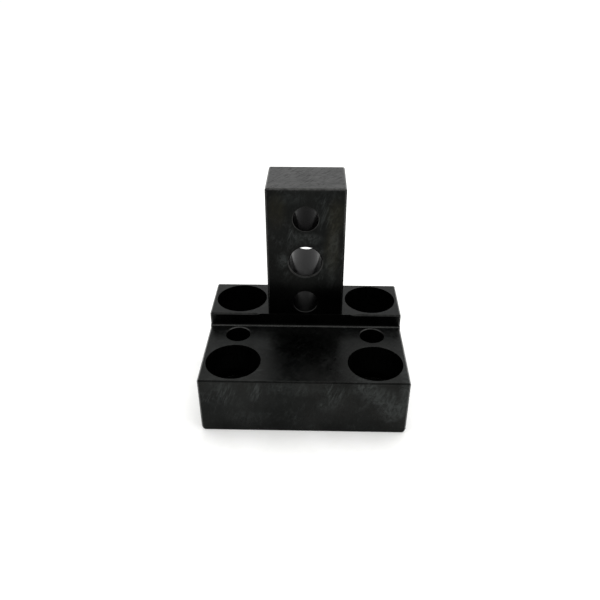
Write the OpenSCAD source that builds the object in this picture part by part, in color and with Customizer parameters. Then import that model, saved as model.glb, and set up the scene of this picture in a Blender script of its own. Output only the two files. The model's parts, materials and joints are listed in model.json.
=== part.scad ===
// Stepped mounting block for tooling: a machined base with four counterbored screw
// holes, and an upright post fastened to its rear ledge from underneath.
// Millimetres. Origin at the centre of the base's underside, +Z up, front towards -Y.

/* [Base] */
// Width of the base, left to right
base_width = 65; // [64.5:0.5:80]
// Depth of the base, front to rear
base_depth = 50; // [49.5:0.5:53]
// Depth of the low front deck, from the front face back to the step
deck_depth = 30; // [30:0.25:30.5]
// Height of the front deck
deck_height = 20; // [18:0.5:20]
// Rise of the rear ledge above the front deck
step_rise = 5; // [3:0.5:5]
// Radius of the fillet at the foot of the step
step_fillet = 0.5; // [0.2:0.1:0.6]

/* [Post] */
// Width of the upright post
post_width = 25; // [24:0.5:26]
// Height of the post's top above the underside of the base
post_top = 70; // [66:0.5:90]

/* [Base screw holes] */
// Spacing of the screw holes, left to right
screw_pitch_x = 45; // [44.5:0.25:45.5]
// Spacing of the screw holes, front to rear
screw_pitch_y = 30; // [29.5:0.25:30.5]
// Distance of the front pair of screw holes from the front face
screw_front_gap = 10; // [9.5:0.25:10.5]
// Diameter of the counterbores
counterbore_d = 17.5; // [16.5:0.5:18]
// Diameter of the screw clearance holes
screw_hole_d = 11; // [10.5:0.5:12]
// Height of the counterbores' floors above the underside
counterbore_floor = 7; // [6:0.5:12]

/* [Base dowel holes] */
// Diameter of the two dowel holes in the deck
deck_dowel_d = 8; // [6:0.5:8]
// Distance of the dowel holes from the front face
deck_dowel_gap = 25; // [24:0.25:25]

/* [Post cross holes] */
// Height of the lower cross hole above the underside
cross_low_z = 30; // [30:0.5:31]
// Spacing of the three cross holes
cross_pitch = 15; // [14:0.5:16]
// Diameter of the upper and lower cross holes, for dowels
cross_dowel_d = 8; // [6:0.5:8]
// Diameter of the middle cross hole, for a screw
cross_screw_d = 10.5; // [8.5:0.5:11]

/* [Post fastening] */
// Spacing of the post's screws and dowel pins, left to right
fix_pitch_x = 16; // [15.5:0.25:16.5]
// Spacing of the post's screws and dowel pins, front to rear
fix_pitch_y = 7.5; // [7:0.25:8]
// Nominal diameter of the post screws
fix_screw_d = 5; // [4:0.5:5]
// Length of the post screws under the head
fix_screw_length = 30; // [26:1:30]
// Diameter of the dowel pins
pin_d = 5; // [4:0.5:5]
// Length of the dowel pins
pin_length = 24; // [20:1:24]

/* [Edges] */
// Chamfer along the top edges of the deck and of the post
edge_top = 0.5; // [0.2:0.05:0.7]
// Chamfer on the upright edges of the base and the post
edge_upright = 0.5; // [0.2:0.05:1]
// Chamfer along the top edges of the rear ledge
edge_ledge = 0.5; // [0.2:0.05:0.6]
// Chamfer along the front and rear bottom edges of the base
edge_bottom = 0.2; // [0.2:0.1:1]
// Chamfer along the bottom edges at the two sides of the base
edge_bottom_side = 1.2; // [0.3:0.1:1.5]

/* [Hidden] */
$fn = 96;
eps = 0.01;

// Heights and places worked out from the driving dimensions
ledge_height = deck_height + step_rise;
ledge_depth = base_depth - deck_depth;
post_height = post_top - ledge_height;
half_width = base_width / 2;
front_y = -base_depth / 2;
rear_y = base_depth / 2;
step_y = front_y + deck_depth;
post_y = step_y + ledge_depth / 2;
screw_front_y = front_y + screw_front_gap;
screw_rear_y = screw_front_y + screw_pitch_y;
deck_dowel_y = front_y + deck_dowel_gap;
cross_mid_z = cross_low_z + cross_pitch;
cross_top_z = cross_mid_z + cross_pitch;

// Chamfers at the mouths of holes
dowel_mouth = 0.25;
cross_dowel_mouth = 0.15;
cross_screw_mouth = 0.4;
underside_mouth = 0.3;

// The ledge's front chamfer is milled with a conical tool that stops short of the post
tool_tip_r = 3;
tool_stop = 4.5;

// Standard sizes of the socket head screws that hold the post
head_d = 1.7 * fix_screw_d;
head_height = fix_screw_d;
head_edge = 0.4;
head_bottom_edge = 0.15;
socket_af = 0.8 * fix_screw_d;
socket_depth = 0.5 * fix_screw_d;
socket_mouth = 0.25;
screw_tip = 0.6;
washer_d = 8.8;
washer_bore_d = fix_screw_d + 0.2;
washer_thickness = 1.6;
washer_gap = 0.8;
washer_gap_tilt = 30;

// Seats that the post screws and dowel pins need
fix_counterbore_d = 10;
fix_counterbore_depth = 8;
fix_clearance_d = fix_screw_d + 0.5;
fix_tap_depth = 14;
drill_tip_slope = 0.6;
pin_base_z = 12;
knock_out_d = 3;
pin_hole_spare = 1;
pin_edge = 0.5;
fix_underhead_z = fix_counterbore_depth - washer_thickness;

// Cutter for the chamfer on an edge that runs along X, Y or Z, centred on the edge
module edge_cut_x(length, leg) {
    rotate([45, 0, 0])
        cube([length, leg * sqrt(2), leg * sqrt(2)], center = true);
}

module edge_cut_y(length, leg) {
    rotate([0, 45, 0])
        cube([leg * sqrt(2), length, leg * sqrt(2)], center = true);
}

module edge_cut_z(length, leg) {
    rotate([0, 0, 45])
        cube([leg * sqrt(2), leg * sqrt(2), length], center = true);
}

// Copies the children to the left and to the right
module both_sides(x) {
    for (side = [-1, 1])
        translate([side * x, 0, 0]) children();
}

// A vertical hole from z0 up to z1
module drill(d, z0, z1) {
    translate([0, 0, z0])
        cylinder(h = z1 - z0, d = d);
}

// A 45 degree mouth on a vertical hole: dir 1 opens upwards, dir -1 downwards
module mouth(d, leg, z, dir) {
    translate([0, 0, z])
        scale([1, 1, dir])
            translate([0, 0, -leg])
                cylinder(h = leg + eps, d1 = d, d2 = d + 2 * (leg + eps));
}

// A hole through the post from front to rear, with a chamfer at both ends
module cross_hole(d, leg, z) {
    translate([0, step_y, z])
        rotate([-90, 0, 0]) {
            drill(d, -eps, ledge_depth + eps);
            mouth(d, leg, ledge_depth, 1);
            mouth(d, leg, 0, -1);
        }
}

// The places of the post's screws and pins, each pair on its own diagonal
module screw_place(side) {
    translate([side * fix_pitch_x / 2, post_y + side * fix_pitch_y / 2, 0]) children();
}

module pin_place(side) {
    translate([side * fix_pitch_x / 2, post_y - side * fix_pitch_y / 2, 0]) children();
}

// Stepped outline of the base, with the small fillet at the foot of the step
module base_blank() {
    translate([-half_width, front_y, 0])
        cube([base_width, base_depth, deck_height]);
    translate([-half_width, step_y, 0])
        cube([base_width, ledge_depth, ledge_height]);
    difference() {
        translate([-half_width, step_y - step_fillet, deck_height - eps])
            cube([base_width, step_fillet + eps, step_fillet + eps]);
        translate([0, step_y - step_fillet, deck_height + step_fillet])
            rotate([0, 90, 0])
                cylinder(h = base_width + 1, r = step_fillet, center = true);
    }
}

// Chamfers around the underside and up the four corners
module base_outer_edges() {
    for (y = [front_y, rear_y])
        translate([0, y, 0]) edge_cut_x(base_width + 2, edge_bottom);
    both_sides(half_width) {
        edge_cut_y(base_depth + 2, edge_bottom_side);
        translate([0, front_y, 0]) edge_cut_z(2 * ledge_height + 2, edge_upright);
        translate([0, rear_y, 0]) edge_cut_z(2 * ledge_height + 2, edge_upright);
    }
}

// Chamfers along the top edges of the deck and the ledge
module base_top_edges() {
    translate([0, front_y, deck_height]) edge_cut_x(base_width + 2, edge_top);
    translate([0, rear_y, ledge_height]) edge_cut_x(base_width + 2, edge_ledge);
    both_sides(half_width) {
        translate([0, front_y + deck_depth / 2 - 1, deck_height])
            edge_cut_y(deck_depth + 2 - 2 * step_fillet, edge_ledge);
        translate([0, step_y + ledge_depth / 2, ledge_height])
            edge_cut_y(ledge_depth + 2, edge_ledge);
        translate([0, step_y, ledge_height])
            edge_cut_z(2 * (step_rise - step_fillet), edge_ledge);
    }
}

// The ledge's front chamfer on both sides of the post, run out with the tool's cone
module ledge_front_edge() {
    stop_x = post_width / 2 + tool_stop;
    run = half_width + 1 - stop_x;
    both_sides(stop_x + run / 2)
        translate([0, step_y, ledge_height]) edge_cut_x(run, edge_ledge);
    both_sides(stop_x)
        translate([0, step_y - tool_tip_r, ledge_height - edge_ledge])
            cylinder(h = edge_ledge + eps, r1 = tool_tip_r, r2 = tool_tip_r + edge_ledge + eps);
}

// Four screw holes, counterbored to one floor height so that one screw length suits all
module base_screw_holes() {
    both_sides(screw_pitch_x / 2)
        for (hole = [[screw_front_y, deck_height], [screw_rear_y, ledge_height]])
            translate([0, hole[0], 0]) {
                drill(screw_hole_d, -eps, hole[1]);
                drill(counterbore_d, counterbore_floor, hole[1] + eps);
                mouth(screw_hole_d, underside_mouth, 0, -1);
            }
}

module base_dowel_holes() {
    both_sides(screw_pitch_x / 2)
        translate([0, deck_dowel_y, 0]) {
            drill(deck_dowel_d, -eps, deck_height + eps);
            mouth(deck_dowel_d, dowel_mouth, deck_height, 1);
            mouth(deck_dowel_d, underside_mouth, 0, -1);
        }
}

// Holes in the base for the post's screws and dowel pins
module base_fix_holes() {
    for (side = [-1, 1]) {
        screw_place(side) {
            drill(fix_counterbore_d, -eps, fix_counterbore_depth);
            drill(fix_clearance_d, 0, ledge_height + eps);
            mouth(fix_counterbore_d, underside_mouth, 0, -1);
        }
        pin_place(side) {
            drill(pin_d, pin_base_z - eps, ledge_height + eps);
            drill(knock_out_d, -eps, pin_base_z);
            mouth(knock_out_d, underside_mouth, 0, -1);
        }
    }
}

module base_block() {
    color([0.11, 0.11, 0.12])
        difference() {
            base_blank();
            base_outer_edges();
            base_top_edges();
            ledge_front_edge();
            base_screw_holes();
            base_dowel_holes();
            base_fix_holes();
        }
}

// Chamfers on the post's upright edges and around its top
module post_edges() {
    both_sides(post_width / 2) {
        for (y = [step_y, rear_y])
            translate([0, y, ledge_height]) edge_cut_z(2 * post_height + 2, edge_upright);
        translate([0, post_y, post_top]) edge_cut_y(ledge_depth + 2, edge_top);
    }
    for (y = [step_y, rear_y])
        translate([0, y, post_top]) edge_cut_x(post_width + 2, edge_top);
}

// Tapped holes and reamed pin holes in the foot of the post
module post_fix_holes() {
    tap_top = ledge_height + fix_tap_depth;
    for (side = [-1, 1]) {
        screw_place(side) {
            drill(fix_screw_d, ledge_height - eps, tap_top);
            translate([0, 0, tap_top])
                cylinder(h = drill_tip_slope * fix_screw_d / 2, d1 = fix_screw_d, d2 = 0);
        }
        pin_place(side)
            drill(pin_d, ledge_height - eps, pin_base_z + pin_length + pin_hole_spare);
    }
}

module upright_post() {
    color([0.13, 0.13, 0.14])
        difference() {
            translate([-post_width / 2, step_y, ledge_height])
                cube([post_width, ledge_depth, post_height]);
            post_edges();
            cross_hole(cross_dowel_d, cross_dowel_mouth, cross_low_z);
            cross_hole(cross_screw_d, cross_screw_mouth, cross_mid_z);
            cross_hole(cross_dowel_d, cross_dowel_mouth, cross_top_z);
            post_fix_holes();
        }
}

// Head of a socket head cap screw, hanging below z = 0
module screw_head() {
    difference() {
        union() {
            translate([0, 0, -head_height])
                cylinder(h = head_edge, d1 = head_d - 2 * head_edge, d2 = head_d);
            drill(head_d, -head_height + head_edge, -head_bottom_edge);
            translate([0, 0, -head_bottom_edge])
                cylinder(h = head_bottom_edge, d1 = head_d, d2 = head_d - 2 * head_bottom_edge);
        }
        translate([0, 0, -head_height - eps])
            cylinder(h = socket_depth + eps, d = socket_af / cos(30), $fn = 6);
        mouth(socket_af, socket_mouth, -head_height, -1);
    }
}

// Socket head cap screw with its head below z = 0 and its tip pointing up
module cap_screw() {
    screw_head();
    drill(fix_screw_d, -eps, fix_screw_length - screw_tip);
    translate([0, 0, fix_screw_length - screw_tip])
        cylinder(h = screw_tip, d1 = fix_screw_d, d2 = fix_screw_d - 2 * screw_tip);
}

module post_screw(side) {
    color([0.08, 0.08, 0.09])
        screw_place(side)
            translate([0, 0, fix_underhead_z]) cap_screw();
}

module post_screw_left() { post_screw(-1); }
module post_screw_right() { post_screw(1); }

// Spring lock washer, pressed flat, with the slanted gap in its ring
module lock_washer(side) {
    color([0.45, 0.45, 0.47])
        screw_place(side)
            translate([0, 0, fix_underhead_z])
                difference() {
                    cylinder(h = washer_thickness, d = washer_d);
                    drill(washer_bore_d, -eps, washer_thickness + eps);
                    translate([washer_d / 2, 0, washer_thickness / 2])
                        rotate([washer_gap_tilt, 0, 0])
                            cube([washer_d, washer_gap, 3 * washer_thickness], center = true);
                }
}

module lock_washer_left() { lock_washer(-1); }
module lock_washer_right() { lock_washer(1); }

// Ground dowel pin with a chamfer at each end
module dowel_pin(side) {
    color([0.62, 0.62, 0.64])
        pin_place(side)
            translate([0, 0, pin_base_z]) {
                cylinder(h = pin_edge, d1 = pin_d - 2 * pin_edge, d2 = pin_d);
                drill(pin_d, pin_edge, pin_length - pin_edge);
                translate([0, 0, pin_length - pin_edge])
                    cylinder(h = pin_edge, d1 = pin_d, d2 = pin_d - 2 * pin_edge);
            }
}

module dowel_pin_left() { dowel_pin(-1); }
module dowel_pin_right() { dowel_pin(1); }

base_block();
upright_post();
post_screw_left();
post_screw_right();
lock_washer_left();
lock_washer_right();
dowel_pin_left();
dowel_pin_right();
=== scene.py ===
"""Looks of the stepped mounting block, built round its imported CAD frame.

Metres, +Z up, origin at the centre of the base's underside, front towards -Y.
"""
import json
import math

import bmesh
import bpy
from mathutils import Matrix, Vector


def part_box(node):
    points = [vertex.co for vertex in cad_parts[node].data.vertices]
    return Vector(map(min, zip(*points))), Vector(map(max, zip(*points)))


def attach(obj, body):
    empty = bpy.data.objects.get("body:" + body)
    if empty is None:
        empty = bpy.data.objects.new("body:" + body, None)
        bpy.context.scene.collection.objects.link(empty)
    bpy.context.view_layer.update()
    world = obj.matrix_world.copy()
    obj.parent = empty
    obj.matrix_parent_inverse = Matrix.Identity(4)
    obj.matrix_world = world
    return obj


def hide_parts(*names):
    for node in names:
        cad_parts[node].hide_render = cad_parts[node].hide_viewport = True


MM = 0.001
FULL_TURN = 2 * math.pi
UP = (0, 0, 1)
BACK = (0, 1, 0)

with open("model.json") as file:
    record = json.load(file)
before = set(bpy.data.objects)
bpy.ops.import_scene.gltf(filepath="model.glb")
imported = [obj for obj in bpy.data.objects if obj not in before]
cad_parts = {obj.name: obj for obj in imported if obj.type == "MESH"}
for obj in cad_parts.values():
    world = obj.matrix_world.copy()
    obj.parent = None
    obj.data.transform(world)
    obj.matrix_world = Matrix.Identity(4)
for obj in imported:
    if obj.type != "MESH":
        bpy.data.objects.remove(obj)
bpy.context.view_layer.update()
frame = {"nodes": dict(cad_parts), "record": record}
mounts = {mount["name"]: mount for mount in frame["record"]["mounts"]}
base_low, base_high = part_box("base_block")
post_low, post_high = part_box("upright_post")
deck_z = mounts["deck_face"]["pos_m"][2]
ledge_z = base_high.z


# ---------------------------------------------------------------- camera

# Turns in degrees: down from level, right of straight ahead, and clockwise
CAMERA_PLACE = Vector((2.57, -165.5, 137.1)) * MM
CAMERA_DOWN = 31.97
CAMERA_RIGHT = -1.46
CAMERA_ROLL = 0.06
CAMERA_LENS = 36.0


def make_camera():
    """Camera in front of the block, looking down on it."""
    data = bpy.data.cameras.new("camera")
    data.lens = CAMERA_LENS
    data.clip_start = 10 * MM
    data.clip_end = 20
    camera = bpy.data.objects.new("camera", data)
    camera.location = CAMERA_PLACE
    turn = (
        Matrix.Rotation(math.radians(-CAMERA_RIGHT), 4, "Z")
        @ Matrix.Rotation(math.radians(90 - CAMERA_DOWN), 4, "X")
        @ Matrix.Rotation(math.radians(-CAMERA_ROLL), 4, "Z")
    )
    camera.rotation_euler = turn.to_euler()
    bpy.context.scene.collection.objects.link(camera)
    bpy.context.scene.camera = camera


# ---------------------------------------------------------------- node helpers

# Share of a spot's reach within which it keeps its full strength
SPOT_CORE = 0.25


class Nodes:
    """Small helper that adds and links the nodes of one shader tree."""

    def __init__(self, tree, place="Object"):
        self.tree = tree
        self.place = tree.nodes.new("ShaderNodeTexCoord").outputs[place]

    def join(self, source, target):
        self.tree.links.new(source, target)

    def set(self, socket, value):
        """Links a socket, or gives an input its constant."""
        if isinstance(value, bpy.types.NodeSocket):
            self.join(value, socket)
        else:
            socket.default_value = value

    def add(self, kind, inputs=(), **settings):
        node = self.tree.nodes.new(kind)
        for name, value in settings.items():
            setattr(node, name, value)
        for key, value in dict(inputs).items():
            self.set(node.inputs[key], value)
        return node

    def along(self, lengths, turn=(0, 0, 0), shift=(0, 0, 0)):
        """Coordinates turned by degrees, in which a pattern is drawn out by lengths."""
        node = self.add("ShaderNodeMapping", {
            "Vector": self.place, "Scale": lengths, "Location": shift,
            "Rotation": [math.radians(a) for a in turn]}, vector_type="TEXTURE")
        return node.outputs["Vector"]

    def noise(self, where, grain, detail=4, rough=0.55, twist=0.0):
        """Noise from 0 to 1 whose features are about grain metres across."""
        node = self.add("ShaderNodeTexNoise", {
            "Vector": where, "Scale": 1 / grain, "Detail": detail,
            "Roughness": rough, "Distortion": twist})
        return node.outputs["Fac"]

    def ramp(self, value, low, high, out_low=0.0, out_high=1.0):
        """Smooth step of value from low to high."""
        node = self.add("ShaderNodeMapRange", {
            "Value": value, "From Min": low, "From Max": high,
            "To Min": out_low, "To Max": out_high}, interpolation_type="SMOOTHSTEP")
        return node.outputs["Result"]

    def math(self, kind, a, b=0.0):
        node = self.add("ShaderNodeMath", {0: a, 1: b}, operation=kind)
        return node.outputs["Value"]

    def one_minus(self, value):
        return self.math("SUBTRACT", 1.0, value)

    def times(self, *values):
        total = values[0]
        for value in values[1:]:
            total = self.math("MULTIPLY", total, value)
        return total

    def plus(self, *values):
        total = values[0]
        for value in values[1:]:
            total = self.math("ADD", total, value)
        return total

    def vector_math(self, kind, *vectors):
        return self.add("ShaderNodeVectorMath", enumerate(vectors), operation=kind).outputs

    def facing(self, vector, direction):
        """Cosine between a unit vector socket and a direction."""
        return self.vector_math("DOT_PRODUCT", vector, Vector(direction).normalized())["Value"]

    def near(self, point, reach):
        """1 at and close to a point of the object, falling to 0 at the reach along each axis."""
        away = self.vector_math("SUBTRACT", self.place, point)["Vector"]
        share = self.vector_math("DIVIDE", away, reach)["Vector"]
        return self.ramp(self.vector_math("LENGTH", share)["Value"], SPOT_CORE, 1.0, 1.0, 0.0)

    def patches(self, spots):
        """Sum of soft spots, each with a point, a reach and a strength."""
        total = 0.0
        for point, reach, strength in spots:
            total = self.plus(total, self.times(self.near(point, reach), strength))
        return total

    def mix(self, factor, a, b):
        """Colour from a to b; each is a socket or three numbers."""
        node = self.add("ShaderNodeMix", data_type="RGBA")
        factor_socket, colour_a, colour_b = node.inputs[0], node.inputs[6], node.inputs[7]
        self.set(factor_socket, factor)
        for socket, colour in ((colour_a, a), (colour_b, b)):
            self.set(socket, (*colour, 1) if isinstance(colour, tuple) else colour)
        return node.outputs[2]

    def scaled(self, colour, factor):
        """A colour times a number."""
        node = self.add("ShaderNodeVectorMath", {0: colour, "Scale": factor}, operation="SCALE")
        return node.outputs["Vector"]

    def bump(self, height, strength, distance, normal=None):
        inputs = {"Height": height, "Strength": strength, "Distance": distance}
        if normal is not None:
            inputs["Normal"] = normal
        return self.add("ShaderNodeBump", inputs).outputs["Normal"]


class Surface(Nodes):
    """The nodes of one material round a Principled shader."""

    def __init__(self, name):
        self.material = bpy.data.materials.new(name)
        self.material.use_nodes = True
        tree = self.material.node_tree
        tree.nodes.clear()
        super().__init__(tree)
        output = tree.nodes.new("ShaderNodeOutputMaterial")
        self.shader = tree.nodes.new("ShaderNodeBsdfPrincipled")
        self.join(self.shader.outputs["BSDF"], output.inputs["Surface"])

    def finish(self, colour, rough, normal, metallic=1.0):
        self.set(self.shader.inputs["Base Color"], colour)
        self.set(self.shader.inputs["Roughness"], rough)
        self.set(self.shader.inputs["Normal"], normal)
        self.set(self.shader.inputs["Metallic"], metallic)
        return self.material


# ---------------------------------------------------------------- black oxide
# It has almost no diffuse light of its own, so it is a metal of very dark colour.

OXIDE_COOL = (0.0110, 0.0117, 0.0113)
OXIDE_WARM = (0.0114, 0.0117, 0.0111)
OXIDE_WIPED = (0.034, 0.037, 0.036)
OXIDE_STAINED = (0.019, 0.018, 0.0125)
# Bare steel of rubbed edges; on hole mouths and the post's top edge it is partly a painted highlight
OXIDE_RUBBED_AND_HIGHLIGHT = (0.060, 0.060, 0.058)
# Hole walls, far blacker than the outer oxide as painted shade inside the holes
COUNTERBORE_SHADE_BLACK = (0.0035, 0.0038, 0.0036)
DECK_HOLE_SHADE_BLACK = (0.004, 0.004, 0.004)
CROSS_HOLE_SHADE_BLACK = (0.0005, 0.0005, 0.0005)
# Share of the metal that the thickest dust hides
DUST_COVER = 0.22
# Height over which the painted shade at an upright face's foot fades out, and a foot that is out of
# reach
FOOT_SHADE_HEIGHT = 16 * MM
NO_FOOT_SHADE = -1.0


def wiping_strokes(s, shift, is_level):
    """Short fine strokes: slanted down the sides, and across on level faces."""
    upright = s.noise(s.along((1, 1, 9), turn=(0, 20, 0), shift=shift), 0.42 * MM, detail=2)
    level = s.noise(s.along((7, 1, 1), turn=(0, 0, 9), shift=shift), 0.5 * MM, detail=3)
    return s.plus(s.times(upright, s.one_minus(is_level)), s.times(level, is_level))


def handling_marks(s, shift, mottle, strokes, wipes, smears):
    """How much pale wiping and smudging covers the oxide."""
    patches = s.noise(s.along((1, 1, 1.4), shift=shift), 6 * MM, detail=4, twist=0.6)
    flecks = s.along((1, 1, 2.2), turn=(0, 14, 0), shift=shift)
    specks = s.noise(flecks, 0.55 * MM, detail=3, rough=0.7)
    wiped = s.times(s.ramp(patches, 0.50, 0.66), s.ramp(strokes, 0.56, 0.72), 0.55)
    smudged = s.times(s.ramp(patches, 0.40, 0.70), s.ramp(mottle, 0.46, 0.66), 0.34)
    speckled = s.times(s.ramp(specks, 0.52, 0.70), 0.16)
    stroked = s.times(s.patches(wipes), s.ramp(strokes, 0.42, 0.66))
    smeared = s.times(s.patches(smears), s.ramp(mottle, 0.36, 0.66, 0.15, 1.0))
    return s.plus(wiped, smudged, speckled, stroked, smeared)


def rubbed_and_highlight_share(s, shift, buffs_and_highlights):
    """How much bare steel shows through, on worn edges and where a cloth has buffed; on hole mouths
    and the post's top edge it is partly a painted highlight.
    """
    wear_and_highlight = s.add("ShaderNodeAttribute", attribute_name="wear_and_highlight").outputs["Fac"]
    worn = s.times(wear_and_highlight, s.ramp(s.noise(s.place, 1.4 * MM, detail=4), 0.36, 0.62, 0.55, 1.0))
    weave = s.along((4, 1, 1), turn=(0, 0, 6), shift=shift)
    cloth = s.noise(weave, 1.6 * MM, detail=5, rough=0.6, twist=0.5)
    buffed = s.times(s.patches(buffs_and_highlights), s.ramp(cloth, 0.36, 0.66))
    return s.math("MAXIMUM", worn, buffed)


def straight_scratches(s, shift):
    """Hair-fine straight scratches in two directions across the level faces."""
    long_way = s.noise(s.along((12, 1, 1), turn=(0, 0, 55), shift=shift), 0.32 * MM, detail=2)
    cross_way = s.noise(s.along((9, 1, 1), turn=(0, 0, -32), shift=shift), 0.32 * MM, detail=2)
    return s.math("MAXIMUM", s.ramp(long_way, 0.57, 0.68), s.ramp(cross_way, 0.60, 0.70))


def black_oxide(name, seed, depth, foot, wipes=(), smears=(), stains=(), buffs_and_highlights=(), dust=()):
    """Black oxide on ground steel, with cloudy handling marks, slanted wipes and rubbed edges.

    wipes, smears, stains, buffs and dust are spots with more slanted strokes, pale smudges,
    olive stain, bright rubbing that is partly a painted highlight, and fine dust. Just above
    height foot, upright faces lose most of their pale marks and turn darker, as painted shade.
    A depth below 1 makes the plain colour blacker.
    """
    s = Surface(name)
    shift = (seed, 2 * seed, 3 * seed)
    clouds = s.noise(s.along((1, 1, 1), shift=shift), 14 * MM, detail=4)
    tint = s.noise(s.along((1, 1, 1.5), shift=shift), 22 * MM, detail=3)
    smudges = s.along((1, 1, 1.6), turn=(0, 24, 0), shift=shift)
    mottle = s.noise(smudges, 1.5 * MM, detail=6, rough=0.68, twist=0.9)
    normal = s.add("ShaderNodeNewGeometry").outputs["Normal"]
    is_level = s.ramp(s.math("ABSOLUTE", s.facing(normal, UP)), 0.5, 0.8)
    height = s.add("ShaderNodeSeparateXYZ", {0: s.place}).outputs["Z"]
    # Painted shade: near the foot of an upright face the pale marks fade and the finish is smoother,
    # so it turns darker
    foot_shade = s.times(s.ramp(height, foot, foot + FOOT_SHADE_HEIGHT, 1.0, 0.0), s.one_minus(is_level))

    strokes = wiping_strokes(s, shift, is_level)
    marks = s.times(handling_marks(s, shift, mottle, strokes, wipes, smears),
                    s.one_minus(s.times(foot_shade, 0.9)))
    stained = s.times(s.patches(stains), s.ramp(mottle, 0.3, 0.7, 0.4, 1.0))
    plain = s.scaled(s.mix(s.ramp(tint, 0.4, 0.62), OXIDE_COOL, OXIDE_WARM),
                     s.ramp(clouds, 0.3, 0.7, 0.78 * depth, 1.2 * depth))
    aged = s.mix(stained, s.mix(marks, plain, OXIDE_WIPED), OXIDE_STAINED)
    colour = s.mix(rubbed_and_highlight_share(s, shift, buffs_and_highlights), aged, OXIDE_RUBBED_AND_HIGHLIGHT)

    grain = s.noise(s.place, 0.2 * MM, detail=2)
    rough = s.plus(
        s.ramp(clouds, 0.3, 0.7, 0.19, 0.27), s.times(marks, 0.10), s.times(grain, 0.05),
        s.times(is_level, s.ramp(mottle, 0.28, 0.72, 0.03, 0.12)), s.times(foot_shade, -0.07),
        s.times(is_level, straight_scratches(s, shift), 0.22))
    grinding = s.noise(s.along((30, 1, 1), shift=shift), 0.3 * MM, detail=3)
    relief = s.bump(grain, 0.06, 0.01 * MM, s.bump(grinding, 0.08, 0.02 * MM))
    if not dust:
        return s.finish(colour, rough, relief)
    dusty = s.times(s.patches(dust), s.ramp(mottle, 0.3, 0.6, 0.6, 1.0), DUST_COVER)
    return s.finish(colour, rough, relief, s.one_minus(dusty))


def shaded_bore_oxide(name, axis, colour, rough, seed, shade_index=None):
    """Oxide on a hole's wall: rings of tool marks round the axis, and a dull streaky film, on a
    colour far darker than the outer faces', which is painted shade inside the hole.

    A wall with a shade index reflects as a smooth clear film of that index, darker at a grazing
    angle than bare oxide; that dimmer reflection is painted shade too.
    """
    s = Surface(name)
    round_axis = s.along([1 if a else 40 for a in axis], shift=(seed, seed, seed))
    along_axis = s.along([4 if a else 1 for a in axis])
    rings = s.noise(round_axis, 0.35 * MM, detail=3)
    film = s.noise(along_axis, 1.3 * MM, detail=4)
    shade = s.times(s.ramp(rings, 0.3, 0.7, 0.8, 1.2), s.ramp(film, 0.3, 0.7, 0.7, 1.3))
    tone = s.scaled(colour, shade)
    roughness = s.plus(s.ramp(film, 0.3, 0.7, rough - 0.05, rough + 0.07), s.times(rings, 0.05))
    if shade_index is None:
        return s.finish(tone, roughness, s.bump(rings, 0.25, 0.02 * MM))
    s.shader.inputs["IOR"].default_value = shade_index
    return s.finish(tone, roughness, s.bump(rings, 0.1, 0.02 * MM), 0.0)


# ---------------------------------------------------------------- other materials

SCREW_BLACK = (0.035, 0.035, 0.037)
SCREW_OILED = (0.018, 0.018, 0.019)
SPRING_BLUE = (0.16, 0.16, 0.18)
SPRING_STAINED = (0.09, 0.09, 0.1)
GROUND_BRIGHT = (0.55, 0.55, 0.57)
GROUND_STAINED = (0.42, 0.42, 0.44)
PAPER_SHADED = (0.72, 0.72, 0.705)
PAPER_PALE = (0.80, 0.80, 0.79)
FLOOR_GLOW = 0.24


def steel(name, colour, dark, rough, seed):
    """Plain steel with fine turned lines, oil film and small blemishes."""
    s = Surface(name)
    shift = (seed, seed, seed)
    film = s.noise(s.along((1, 1, 1), shift=shift), 2.4 * MM, detail=4)
    spots = s.ramp(s.noise(s.along((1, 1, 1), shift=shift), 0.5 * MM, detail=3), 0.62, 0.72)
    turned = s.noise(s.along((20, 20, 1), shift=shift), 0.12 * MM, detail=2)
    tone = s.mix(s.math("MAXIMUM", s.ramp(film, 0.35, 0.7), spots), colour, dark)
    roughness = s.plus(s.ramp(film, 0.3, 0.7, rough - 0.06, rough + 0.06), s.times(spots, 0.12))
    return s.finish(tone, roughness, s.bump(turned, 0.15, 0.01 * MM))


def floor_paper():
    """Pale matt studio floor with a trace of unevenness, lit a little from below."""
    s = Surface("studio_floor")
    cloud = s.noise(s.place, 28 * MM, detail=6, rough=0.62)
    fibre = s.noise(s.place, 0.8 * MM, detail=3)
    s.shader.inputs["Specular IOR Level"].default_value = 0.1
    s.shader.inputs["Emission Color"].default_value = (1, 1, 1, 1)
    s.shader.inputs["Emission Strength"].default_value = FLOOR_GLOW
    return s.finish(s.mix(s.ramp(cloud, 0.35, 0.65), PAPER_SHADED, PAPER_PALE),
                    s.ramp(cloud, 0.2, 0.8, 0.7, 0.85), s.bump(fibre, 0.05, 0.05 * MM), 0.0)


# ---------------------------------------------------------------- mesh helpers

MERGE_DISTANCE = MM / 1000
# Faces that meet at less than this many degrees count as one flat
FLAT_ANGLE = 0.3


def new_piece(name, bm, materials, node):
    """Turns a bmesh into a smooth-shaded piece that stands for a CAD node."""
    mesh = bpy.data.meshes.new(name)
    bm.to_mesh(mesh)
    bm.free()
    for material in materials:
        mesh.materials.append(material)
    for polygon in mesh.polygons:
        polygon.use_smooth = True
    piece = bpy.data.objects.new(name, mesh)
    bpy.context.scene.collection.objects.link(piece)
    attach(piece, "root")
    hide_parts(node)
    return piece


def cad_solid(node):
    """The CAD node's surface as one closed bmesh with its flat faces merged."""
    bm = bmesh.new()
    bm.from_mesh(frame["nodes"][node].data)
    bmesh.ops.remove_doubles(bm, verts=bm.verts, dist=MERGE_DISTANCE)
    bmesh.ops.dissolve_limit(
        bm, angle_limit=math.radians(FLAT_ANGLE), verts=bm.verts, edges=bm.edges)
    return bm


# ---------------------------------------------------------------- machined blocks

EDGE_ROUNDING = 0.11 * MM
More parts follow.
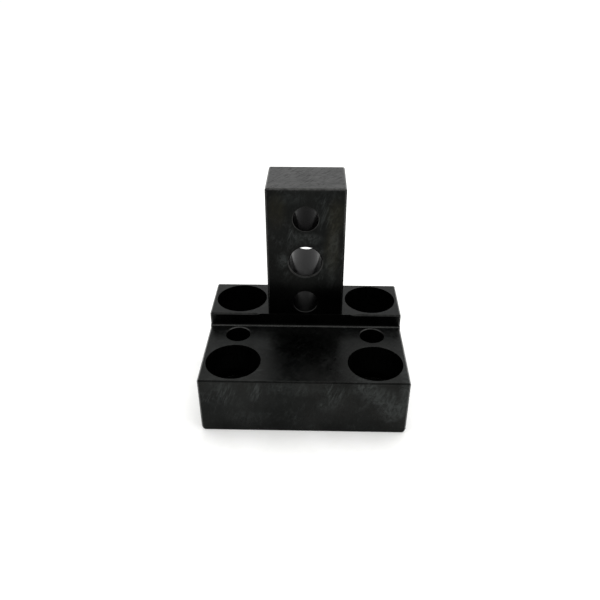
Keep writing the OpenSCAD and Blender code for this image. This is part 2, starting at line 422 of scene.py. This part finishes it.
# Degrees: facets of a round wall meet at less than the first, and only edges that were
# left unrounded, such as the seam's, meet at more than the second
REAL_EDGE_ANGLE = 20
UNROUNDED_ANGLE = 55
# How near a vertex lies to a bore's wall or to the seam's height when it is on it
ON_SURFACE = 0.03 * MM
# A little more than half the post's width
SEAM_HALF_WIDTH = 13 * MM
# How far beyond its bore a hole's mouth may reach
MOUTH_REACH = 1.0 * MM

# How bare an edge is rubbed, from 0 for whole oxide to 1 for the barest; at the hole mouths and the
# post's top edge it is partly a painted highlight
MOUTH_WEAR_AND_HIGHLIGHT = {
    "deck_dowel_left": 1.0, "deck_dowel_right": 1.0, "post_dowel_lower": 1.0,
    "post_screw_hole": 0.5, "post_dowel_upper": 0.6}
ROUNDING_WEAR = 0.45
UPRIGHT_CHAMFER_WEAR = 0.22
SIDE_CHAMFER_WEAR = 0.3
LEDGE_CHAMFER_WEAR = 0.5
# Partly rubbing and partly a painted highlight along the post's top edge
POST_TOP_WEAR_AND_HIGHLIGHT = 0.95


def mouth_wear_and_highlight(centre):
    """How bare the mouth of a dowel or cross hole is, partly as a painted highlight, if a face's
    centre lies on one.
    """
    for name, wear_and_highlight in MOUTH_WEAR_AND_HIGHLIGHT.items():
        mount = mounts[name]
        away = centre - Vector(mount["pos_m"])
        axis = Vector(mount["axis"]).normalized()
        if away.cross(axis).length < mount["dims"]["r_mm"] * MM + MOUTH_REACH:
            return wear_and_highlight
    return None


def chamfer_wear_and_highlight(face):
    """How bare a chamfer is rubbed: hole mouths and the highest edges are touched the most, and
    there it is partly a painted highlight.
    """
    centre = face.calc_center_median()
    mouth = mouth_wear_and_highlight(centre)
    if mouth is not None:
        return mouth
    is_upright = abs(face.normal.z) < 0.1
    if is_upright:
        return UPRIGHT_CHAMFER_WEAR
    faces_front = face.normal.y <= -0.3
    if not faces_front:
        return SIDE_CHAMFER_WEAR
    if centre.z < deck_z:
        return 0.0
    return LEDGE_CHAMFER_WEAR if centre.z < ledge_z + MM else POST_TOP_WEAR_AND_HIGHLIGHT


def is_in_seam(edge):
    """Whether an edge lies in the joint between the two blocks, which stays sharp."""
    return all(abs(v.co.z - ledge_z) < ON_SURFACE and abs(v.co.x) < SEAM_HALF_WIDTH
               for v in edge.verts)


def soften(bm):
    """Rounds every real edge by a hair, and marks those bands and the chamfers for rubbing, partly a
    painted highlight on hole mouths and the post's top edge.
    """
    layer = bm.faces.layers.float.new("wear_and_highlight")
    for face in bm.faces:
        is_flat = max(abs(a) for a in face.normal) > 0.95
        is_bore_wall = face.material_index > 0
        face[layer] = 0.0 if is_flat or is_bore_wall else chamfer_wear_and_highlight(face)
    least = math.radians(REAL_EDGE_ANGLE)
    edges = [e for e in bm.edges if e.calc_face_angle(0) > least and not is_in_seam(e)]
    made = bmesh.ops.bevel(
        bm, geom=edges, offset=EDGE_ROUNDING, segments=2, profile=0.5, material=-1,
        affect="EDGES", clamp_overlap=True, loop_slide=True)
    for face in made["faces"]:
        face[layer] = ROUNDING_WEAR


def bore_of(face, names):
    """Index of the named bore mount whose wall a face lies on, or none."""
    for index, name in enumerate(names):
        mount = mounts[name]
        centre, axis = Vector(mount["pos_m"]), Vector(mount["axis"]).normalized()
        radius = mount["dims"]["r_mm"] * MM
        if all(abs((v.co - centre).cross(axis).length - radius) < ON_SURFACE for v in face.verts):
            return index
    return None


def machined_block(name, node, face_material, bores):
    """A block with the CAD's exact surfaces, hair-fine rounded edges and its own bore walls.

    bores maps a bore mount's name to the material of its wall.
    """
    bm = cad_solid(node)
    names = list(bores)
    for face in bm.faces:
        found = bore_of(face, names)
        face.material_index = 0 if found is None else 1 + found
    soften(bm)
    piece = new_piece(name, bm, [face_material, *bores.values()], node)
    piece.data.set_sharp_from_angle(angle=math.radians(UNROUNDED_ANGLE))
    weighted = piece.modifiers.new("flat_faces", "WEIGHTED_NORMAL")
    weighted.keep_sharp = True
    weighted.weight = 100


# ---------------------------------------------------------------- turned shapes

ROUND_STEPS = 72
SHARP_ANGLE = 32


def around(centre, radius, angle, height):
    """The point at a radius and an angle round a vertical axis."""
    return Vector((centre.x + radius * math.cos(angle), centre.y + radius * math.sin(angle), height))


def ring(centre, height, radius_at):
    """Points round a vertical axis; radius_at gives the radius for an angle."""
    angles = [FULL_TURN * i / ROUND_STEPS for i in range(ROUND_STEPS)]
    return [around(centre, radius_at(a), a, height) for a in angles]


def stack_rings(rings):
    """Closed bmesh through rings, each a list of the same number of points; ends are capped."""
    bm = bmesh.new()
    loops = [[bm.verts.new(point) for point in points] for points in rings]
    for lower, upper in zip(loops, loops[1:]):
        for i in range(len(lower)):
            j = (i + 1) % len(lower)
            bm.faces.new((lower[i], lower[j], upper[j], upper[i]))
    bm.faces.new(list(reversed(loops[0])))
    bm.faces.new(loops[-1])
    bmesh.ops.recalc_face_normals(bm, faces=bm.faces)
    return bm


def detailed_piece(node, rings, material):
    """A fastener made of stacked rings, in place of its plain CAD node."""
    piece = new_piece(node + "_detailed", stack_rings(rings), [material], node)
    piece.data.set_sharp_from_angle(angle=math.radians(SHARP_ANGLE))


def axis_of(node):
    """Centre, lowest corner and highest corner of an upright node."""
    low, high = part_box(node)
    return (low + high) / 2, low, high


# ---------------------------------------------------------------- post screws

THREAD_D = 5 * MM
THREAD_PITCH = 0.8 * MM
THREAD_DEPTH = 0.42 * MM
RINGS_PER_PITCH = 8
PLAIN_SHANK = 8 * MM
FILLET_RADIUS = 0.1 * MM
FILLET_HEIGHT = 0.12 * MM
TIP_LENGTH = 0.7 * MM
TIP_BEVEL = 0.25 * MM
HEAD_HEIGHT = 5 * MM
HEAD_BEVEL = 0.45 * MM
BEVEL_SHOULDER = 0.22 * MM
BEVEL_HEIGHT = 0.12 * MM
KNURL_DEPTH = 0.12 * MM
KNURL_MARGIN = 0.4 * MM
SEAT_BEVEL = 0.2 * MM
SOCKET_ACROSS = 4 * MM
SOCKET_DEPTH = 2.5 * MM
SOCKET_LEAD_IN = 0.3 * MM
DRILL_POINT = 0.35 * MM
POINT_RADIUS = 0.2 * MM


def hexagon(across):
    """Radius function of a hexagon with a given distance across its flats."""
    sector = FULL_TURN / 6
    return lambda a: across / 2 / math.cos((a + sector / 2) % sector - sector / 2)


def knurled(radius):
    """Radius function of a rim with a fine straight knurl."""
    teeth = ROUND_STEPS // 2
    return lambda a: radius - KNURL_DEPTH * (0.5 - 0.5 * math.cos(a * teeth))


def thread(height, top):
    """Radius function of a screw thread at a height, running out towards its top."""
    taper = min(1.0, max(0.0, (top - height) / THREAD_PITCH))

    def radius_at(angle):
        phase = (height / THREAD_PITCH - angle / FULL_TURN) % 1
        crest = min(1.0, max(0.0, 2.4 * abs(phase - 0.5) - 0.1))
        return THREAD_D / 2 - THREAD_DEPTH * (1 - crest * taper)

    return radius_at


def socket_screw(node, material):
    """Socket head cap screw, head down: hexagon socket, knurled head, plain shank and thread."""
    centre, low, high = axis_of(node)
    head = (high.x - low.x) / 2
    seat = low.z + HEAD_HEIGHT
    rings = []

    def put(height, radius):
        rings.append(ring(centre, height, radius if callable(radius) else lambda a: radius))

    # the socket, from its drilled floor out to its mouth
    put(low.z + SOCKET_DEPTH + DRILL_POINT, POINT_RADIUS)
    put(low.z + SOCKET_DEPTH, 0.94 * SOCKET_ACROSS / 2)
    put(low.z + SOCKET_DEPTH, hexagon(0.97 * SOCKET_ACROSS))
    put(low.z + SOCKET_LEAD_IN, hexagon(SOCKET_ACROSS))
    put(low.z, 1.19 * SOCKET_ACROSS / 2)
    # the head's rounded end, its knurl and its seat
    put(low.z, head - HEAD_BEVEL)
    put(low.z + BEVEL_HEIGHT, head - BEVEL_SHOULDER)
    put(low.z + KNURL_MARGIN, head - KNURL_DEPTH)
    put(low.z + KNURL_MARGIN + 0.1 * MM, knurled(head))
    put(seat - KNURL_MARGIN - 0.15 * MM, knurled(head))
    put(seat - KNURL_MARGIN, head - KNURL_DEPTH)
    put(seat - SEAT_BEVEL / 2, head - KNURL_DEPTH)
    put(seat, head - SEAT_BEVEL)
    # the plain shank with its fillet
    put(seat, THREAD_D / 2 + FILLET_RADIUS)
    put(seat + FILLET_HEIGHT, THREAD_D / 2)
    put(seat + PLAIN_SHANK, THREAD_D / 2)
    # the thread and the tip
    step = THREAD_PITCH / RINGS_PER_PITCH
    thread_top = high.z - TIP_LENGTH
    for i in range(1, int((thread_top - seat - PLAIN_SHANK) / step) + 1):
        height = seat + PLAIN_SHANK + i * step
        put(height, thread(height, thread_top))
    put(high.z - TIP_BEVEL, THREAD_D / 2 - 1.1 * THREAD_DEPTH)
    put(high.z, THREAD_D / 2 - 1.6 * THREAD_DEPTH)
    detailed_piece(node, rings, material)


# ---------------------------------------------------------------- lock washers

WASHER_BORE = 5.2 * MM
WASHER_GAP = 0.8 * MM
WASHER_GAP_TILT = math.radians(30)
WASHER_ROUNDING = 0.22 * MM


def washer_section(inner, outer, low, high):
    """Rounded rectangle of radius and height, as one loop of points."""
    points = []
    corners = ((outer, high, 0), (inner, high, 90), (inner, low, 180), (outer, low, 270))
    for radius, height, start in corners:
        middle_r = radius + (WASHER_ROUNDING if radius == inner else -WASHER_ROUNDING)
        middle_z = height + (WASHER_ROUNDING if height == low else -WASHER_ROUNDING)
        for step in range(4):
            a = math.radians(start + 30 * step)
            points.append((middle_r + WASHER_ROUNDING * math.cos(a),
                           middle_z + WASHER_ROUNDING * math.sin(a)))
    return points


def spring_washer(node, material):
    """Split lock washer: a rounded square wire, bent round and cut on the slant."""
    centre, low, high = axis_of(node)
    section = washer_section(WASHER_BORE / 2, (high.y - low.y) / 2, low.z, high.z)
    middle = (low.z + high.z) / 2
    slant = math.tan(WASHER_GAP_TILT)
    rings = []
    for i in range(ROUND_STEPS + 1):
        loop = []
        for radius, height in section:
            half_gap = WASHER_GAP / 2 / math.cos(WASHER_GAP_TILT) / radius
            lean = -slant * (height - middle) / radius
            angle = half_gap + (FULL_TURN - 2 * half_gap) * i / ROUND_STEPS + lean
            loop.append(around(centre, radius, angle, height))
        rings.append(loop)
    detailed_piece(node, rings, material)


# ---------------------------------------------------------------- dowel pins

PIN_ENTRY = 0.55 * MM
PIN_CROWN = 0.5 * MM
PIN_BLEND = 0.08 * MM
CROWN_STEPS = 6


def ground_pin(node, material):
    """Dowel pin with a tapered entry end below and a crowned end above."""
    centre, low, high = axis_of(node)
    radius = (high.x - low.x) / 2
    outline = [
        (0.2 * radius, low.z),
        (0.84 * radius, low.z),
        (0.9 * radius, low.z + PIN_BLEND),
        (0.985 * radius, low.z + PIN_ENTRY - PIN_BLEND),
        (radius, low.z + PIN_ENTRY + 0.1 * MM)]
    crown = high.z - PIN_CROWN
    for step in range(CROWN_STEPS + 1):
        a = math.radians(90 / CROWN_STEPS * step)
        outline.append((radius * (0.5 + 0.5 * math.cos(a)), crown + PIN_CROWN * math.sin(a)))
    rings = [ring(centre, height, lambda a, r=r: r) for r, height in outline]
    detailed_piece(node, rings, material)


# ---------------------------------------------------------------- studio

# Brightness of the white surroundings, and how it changes to the right and at the front top
SKY = 1.08
SKY_RIGHT_GAIN = 0.12
FRONT_TOP = (0, -0.50, 0.86)
FRONT_TOP_DIMMING = -0.62
OVERHEAD_RADIANCE = 2.6
OVERHEAD_SIZE = 1.1
OVERHEAD_PLACE = Vector((0.05, 0.22, 1.2))
FLOOR_HALF = 4.0


def make_world():
    """White studio all round, dimmer above and in front, where the camera's side is."""
    world = bpy.data.worlds.new("surroundings")
    world.use_nodes = True
    w = Nodes(world.node_tree, "Generated")
    front_top = w.ramp(w.facing(w.place, FRONT_TOP), 0.72, 0.93)
    right = w.facing(w.place, (1, 0, 0))
    level = w.plus(SKY, w.times(right, SKY_RIGHT_GAIN), w.times(front_top, FRONT_TOP_DIMMING))
    background = world.node_tree.nodes["Background"]
    background.inputs["Color"].default_value = (1, 1, 1, 1)
    w.join(level, background.inputs["Strength"])
    bpy.context.scene.world = world


def make_floor():
    """A wide level sheet of pale paper at the block's foot."""
    mesh = bpy.data.meshes.new("floor")
    corners = [(-1, -1), (1, -1), (1, 1), (-1, 1)]
    mesh.from_pydata([(FLOOR_HALF * x, FLOOR_HALF * y, 0) for x, y in corners], [], [(0, 1, 2, 3)])
    mesh.materials.append(floor_paper())
    floor = bpy.data.objects.new("floor", mesh)
    bpy.context.scene.collection.objects.link(floor)


def make_overhead_light():
    """One broad soft light above and a little behind the block, turned towards it."""
    light = bpy.data.lights.new("soft_light", "AREA")
    light.size = OVERHEAD_SIZE
    light.energy = OVERHEAD_RADIANCE * math.pi * OVERHEAD_SIZE ** 2
    lamp = bpy.data.objects.new("soft_light", light)
    lamp.location = OVERHEAD_PLACE
    lamp.rotation_euler = OVERHEAD_PLACE.to_track_quat("Z", "Y").to_euler()
    bpy.context.scene.collection.objects.link(lamp)


# ---------------------------------------------------------------- marks on the two blocks

# Deep enough in mm to carry a spot round to the block's sides and top
SPOT_DEPTH = 30


def front_spot(low, high, across, up, reach_x, reach_z, strength):
    """A spot on a block's front face, at a share of its width and height; reaches in mm."""
    point = Vector((low.x + across * (high.x - low.x), low.y, low.z + up * (high.z - low.z)))
    return point, Vector((reach_x, SPOT_DEPTH, reach_z)) * MM, strength


def on_base(*spot):
    """A spot on the base's front face, below the deck."""
    return front_spot(base_low, Vector((base_high.x, base_high.y, deck_z)), *spot)


def on_post(*spot):
    """A spot on the post's front face."""
    return front_spot(post_low, post_high, *spot)


def base_oxide():
    """The base's outer faces, with fine dust on the deck along the foot of the step."""
    return black_oxide(
        "black_oxide_base", 0.0, 1.0, NO_FOOT_SHADE,
        wipes=[
            on_base(0.13, 0.78, 3.5, 7, 0.7),
            on_base(0.27, 0.80, 3, 6, 0.8),
            on_base(0.66, 0.80, 6, 4, 0.5)],
        smears=[
            on_base(0.79, 0.88, 6, 4, 0.7),
            on_base(0.86, 0.70, 7, 5, 0.75),
            on_base(0.93, 0.45, 6, 6, 0.8),
            on_base(0.99, 0.80, 3.5, 9, 0.8),
            on_base(0.62, 0.55, 5, 4, 0.5),
            on_base(0.45, 0.86, 15, 3.5, 0.35),
            on_base(0.25, 0.25, 9, 4, 0.35)],
        dust=[(Vector((0, post_low.y, deck_z)), Vector((60, 7, 1.5)) * MM, 1.0)])


def post_oxide():
    """The post's outer faces, blacker than the base's and buffed along the top, where the bright
    steel is partly a painted highlight.
    """
    return black_oxide(
        # The post darkens with painted shade just above its foot
        "black_oxide_post", 0.31, 0.66, post_low.z + 4 * MM,
        wipes=[on_post(0.72, 0.80, 3.5, 7, 0.4)],
        smears=[
            on_post(0.50, 0.63, 8, 3, 0.55),
            on_post(0.20, 0.45, 2.5, 4, 0.6),
            on_post(0.86, 0.60, 2.2, 6, 0.9),
            on_post(0.82, 0.42, 2.2, 8, 0.8),
            on_post(0.30, 0.93, 7, 3, 0.3)],
        stains=[
            on_post(0.14, 0.84, 4, 8, 0.45),
            on_post(0.88, 0.80, 4, 8, 0.6),
            on_post(0.84, 0.55, 3.5, 12, 0.6)],
        # Bright steel along the post's top edge, partly buffing and partly a painted highlight
        buffs_and_highlights=[on_post(0.5, 1.0, 26, 0.9, 0.5)])


# ---------------------------------------------------------------- build

make_camera()
make_floor()
make_world()
make_overhead_light()
bpy.context.scene.view_settings.view_transform = "Standard"

base_face = base_oxide()
post_face = post_oxide()
# Hole walls in darker copies of the oxide, as painted shade inside the bores
deep_wall = shaded_bore_oxide("oxide_counterbore", UP, COUNTERBORE_SHADE_BLACK, 0.42, 0.1)
dowel_wall = shaded_bore_oxide("deck_dowel_hole_painted_shade", UP, DECK_HOLE_SHADE_BLACK, 0.36, 0.2)
lower_wall = shaded_bore_oxide("lower_cross_hole_painted_shade", BACK, CROSS_HOLE_SHADE_BLACK, 0.30, 0.3, 1.12)
screw_wall = shaded_bore_oxide("screw_cross_hole_painted_shade", BACK, CROSS_HOLE_SHADE_BLACK, 0.15, 0.4, 1.175)
upper_wall = shaded_bore_oxide("upper_cross_hole_painted_shade", BACK, CROSS_HOLE_SHADE_BLACK, 0.19, 0.5, 1.055)

base_bores = {name: deep_wall for name in mounts if name.endswith("_counterbore")}
base_bores.update({"deck_dowel_left": dowel_wall, "deck_dowel_right": dowel_wall})
post_bores = {
    "post_dowel_lower": lower_wall,
    "post_screw_hole": screw_wall,
    "post_dowel_upper": upper_wall}
machined_block("base_block_machined", "base_block", base_face, base_bores)
machined_block("upright_post_machined", "upright_post", post_face, post_bores)

screw_steel = steel("black_screw_steel", SCREW_BLACK, SCREW_OILED, 0.34, 0.2)
washer_steel = steel("spring_steel", SPRING_BLUE, SPRING_STAINED, 0.4, 0.5)
pin_steel = steel("ground_steel", GROUND_BRIGHT, GROUND_STAINED, 0.25, 0.8)
for side in ("left", "right"):
    socket_screw(f"post_screw_{side}", screw_steel)
    spring_washer(f"lock_washer_{side}", washer_steel)
    ground_pin(f"dowel_pin_{side}", pin_steel)
